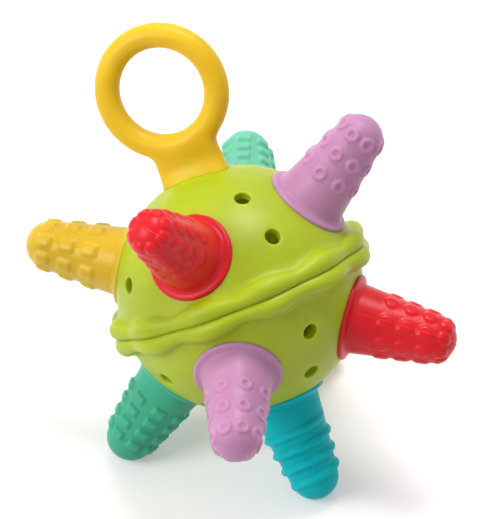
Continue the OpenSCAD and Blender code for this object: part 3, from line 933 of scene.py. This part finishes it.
def build_lamp(name, place, size, power):
    """A large soft lamp aimed at the ball."""
    data = bpy.data.lights.new(name, "AREA")
    data.shape = "DISK"
    data.size = size
    data.energy = power
    lamp = bpy.data.objects.new(name, data)
    lamp.location = place
    lamp.rotation_euler = (CENTRE - lamp.location).to_track_quat("-Z", "Y").to_euler()
    bpy.context.scene.collection.objects.link(lamp)


def build_camera():
    """A long lens at the photograph's viewing angle. The picture's height is measured at the ball."""
    distance = 1132 * MM
    frame_h = 146.85 * MM
    shift_right, shift_up = 1.02 * MM, 8.06 * MM
    back = Vector((0, -cos(VIEW_ANGLE), sin(VIEW_ANGLE)))
    upward = Vector((0, sin(VIEW_ANGLE), cos(VIEW_ANGLE)))
    aim = CENTRE + Vector((shift_right, 0, 0)) + upward * shift_up
    data = bpy.data.cameras.new("camera")
    data.sensor_fit = "VERTICAL"
    data.sensor_height = 36
    data.lens = data.sensor_height * distance / frame_h
    data.clip_end = 20
    camera = bpy.data.objects.new("camera", data)
    camera.location = aim + back * distance
    camera.rotation_euler = (-back).to_track_quat("-Z", "Y").to_euler()
    bpy.context.scene.collection.objects.link(camera)
    bpy.context.scene.camera = camera
    bpy.context.scene.view_settings.view_transform = "Standard"


# Operators

class TEETHER_OT_shells(bpy.types.Operator):
    """Build both halves of the ball"""

    bl_idname = "teether.shells"
    bl_label = "Shells"

    def execute(self, context):
        scene = context.scene
        finish = moulded("lime_shell")
        for half in ("upper", "lower"):
            mesh = half_shell(half, scene.teether_shell, scene.teether_finger, scene.teether_handle)
            shell = piece("shell_" + half, mesh, BALL, finish, sharp=radians(50))
            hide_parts(half + "_shell")
            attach(shell, "ball")
        return {"FINISHED"}


class TEETHER_OT_handle(bpy.types.Operator):
    """Build the ring handle"""

    bl_idname = "teether.handle"
    bl_label = "Ring handle"

    def execute(self, context):
        scene = context.scene
        mesh = HandleCage(scene.teether_handle, scene.teether_shell.ball_r).build()
        handle = piece("handle", mesh, BALL, moulded("yellow_ring"), sharp=pi)
        rounding = handle.modifiers.new("Rounding", "SUBSURF")
        rounding.levels = 3
        rounding.render_levels = 3
        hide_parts("ring_handle")
        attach(handle, "ball")
        return {"FINISHED"}


class TEETHER_OT_fingers(bpy.types.Operator):
    """Build the soft textured fingers"""

    bl_idname = "teether.fingers"
    bl_label = "Soft fingers"

    def execute(self, context):
        scene = context.scene
        size = scene.teether_finger
        shell = scene.teether_shell
        finishes = {}
        for node, texture, slot, row_turn in FINGERS:
            if slot not in finishes:
                finishes[slot] = moulded(slot)
            reach = size.pole_reach if node == "pole_finger" else size.reach
            mesh = finger_mesh(size, shell.ball_r, shell.wall, reach, texture, radians(row_turn))
            place = finger_frame(node)
            name = "soft_" + node.replace("_finger", "")
            finger = piece(name, mesh, place, finishes[slot], sharp=radians(60))
            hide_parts(node)
            out = place.to_3x3().col[2]
            start = CENTRE + out * (shell.ball_r + size.bend_start)
            end = CENTRE + out * (shell.ball_r + size.bend_end)
            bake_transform(finger, "ball", node, start, end)
        return {"FINISHED"}


class TEETHER_OT_inside(bpy.types.Operator):
    """Finish the finger cores, the anchor and the rattle beads"""

    bl_idname = "teether.inside"
    bl_label = "Cores, anchor and beads"

    def execute(self, context):
        core = moulded("ivory_core")
        bead = moulded("ivory_bead")
        for name, thing in frame["nodes"].items():
            if "core" in name or "anchor" in name or "bead" in name:
                for place in thing.material_slots:
                    place.material = bead if "bead" in name else core
        return {"FINISHED"}


class TEETHER_OT_stage(bpy.types.Operator):
    """Build the floor, the lights and the camera"""

    bl_idname = "teether.stage"
    bl_label = "Stage"

    def execute(self, context):
        build_floor()
        build_sky()
        for name, place, size, power in LAMPS:
            build_lamp(name, place, size, power)
        build_camera()
        return {"FINISHED"}


class TEETHER_PT_sidebar(bpy.types.Panel):
    """Steps that build the teething ball"""

    bl_label = "Teether"
    bl_idname = "TEETHER_PT_sidebar"
    bl_space_type = "VIEW_3D"
    bl_region_type = "UI"
    bl_category = "Teether"

    def draw(self, context):
        for step in STEPS:
            self.layout.operator(step.bl_idname)


STEPS = (
    TEETHER_OT_stage,
    TEETHER_OT_shells,
    TEETHER_OT_handle,
    TEETHER_OT_fingers,
    TEETHER_OT_inside,
)
GROUPS = {
    "teether_shell": TeetherShell,
    "teether_handle": TeetherHandle,
    "teether_finger": TeetherFinger,
    "teether_texture": TeetherTexture,
    "teether_colours": TeetherColours,
}


def register():
    """Adds the classes and the scene's size groups."""
    for kind in (*GROUPS.values(), *STEPS, TEETHER_PT_sidebar):
        bpy.utils.register_class(kind)
    for name, group in GROUPS.items():
        setattr(bpy.types.Scene, name, PointerProperty(type=group))


def unregister():
    """Removes them again."""
    for name in GROUPS:
        delattr(bpy.types.Scene, name)
    for kind in (TEETHER_PT_sidebar, *STEPS, *GROUPS.values()):
        bpy.utils.unregister_class(kind)


def main():
    """Registers the add-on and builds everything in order."""
    register()
    bpy.ops.teether.stage()
    bpy.ops.teether.shells()
    bpy.ops.teether.handle()
    bpy.ops.teether.fingers()
    bpy.ops.teether.inside()


if __name__ == "__main__":
    main()
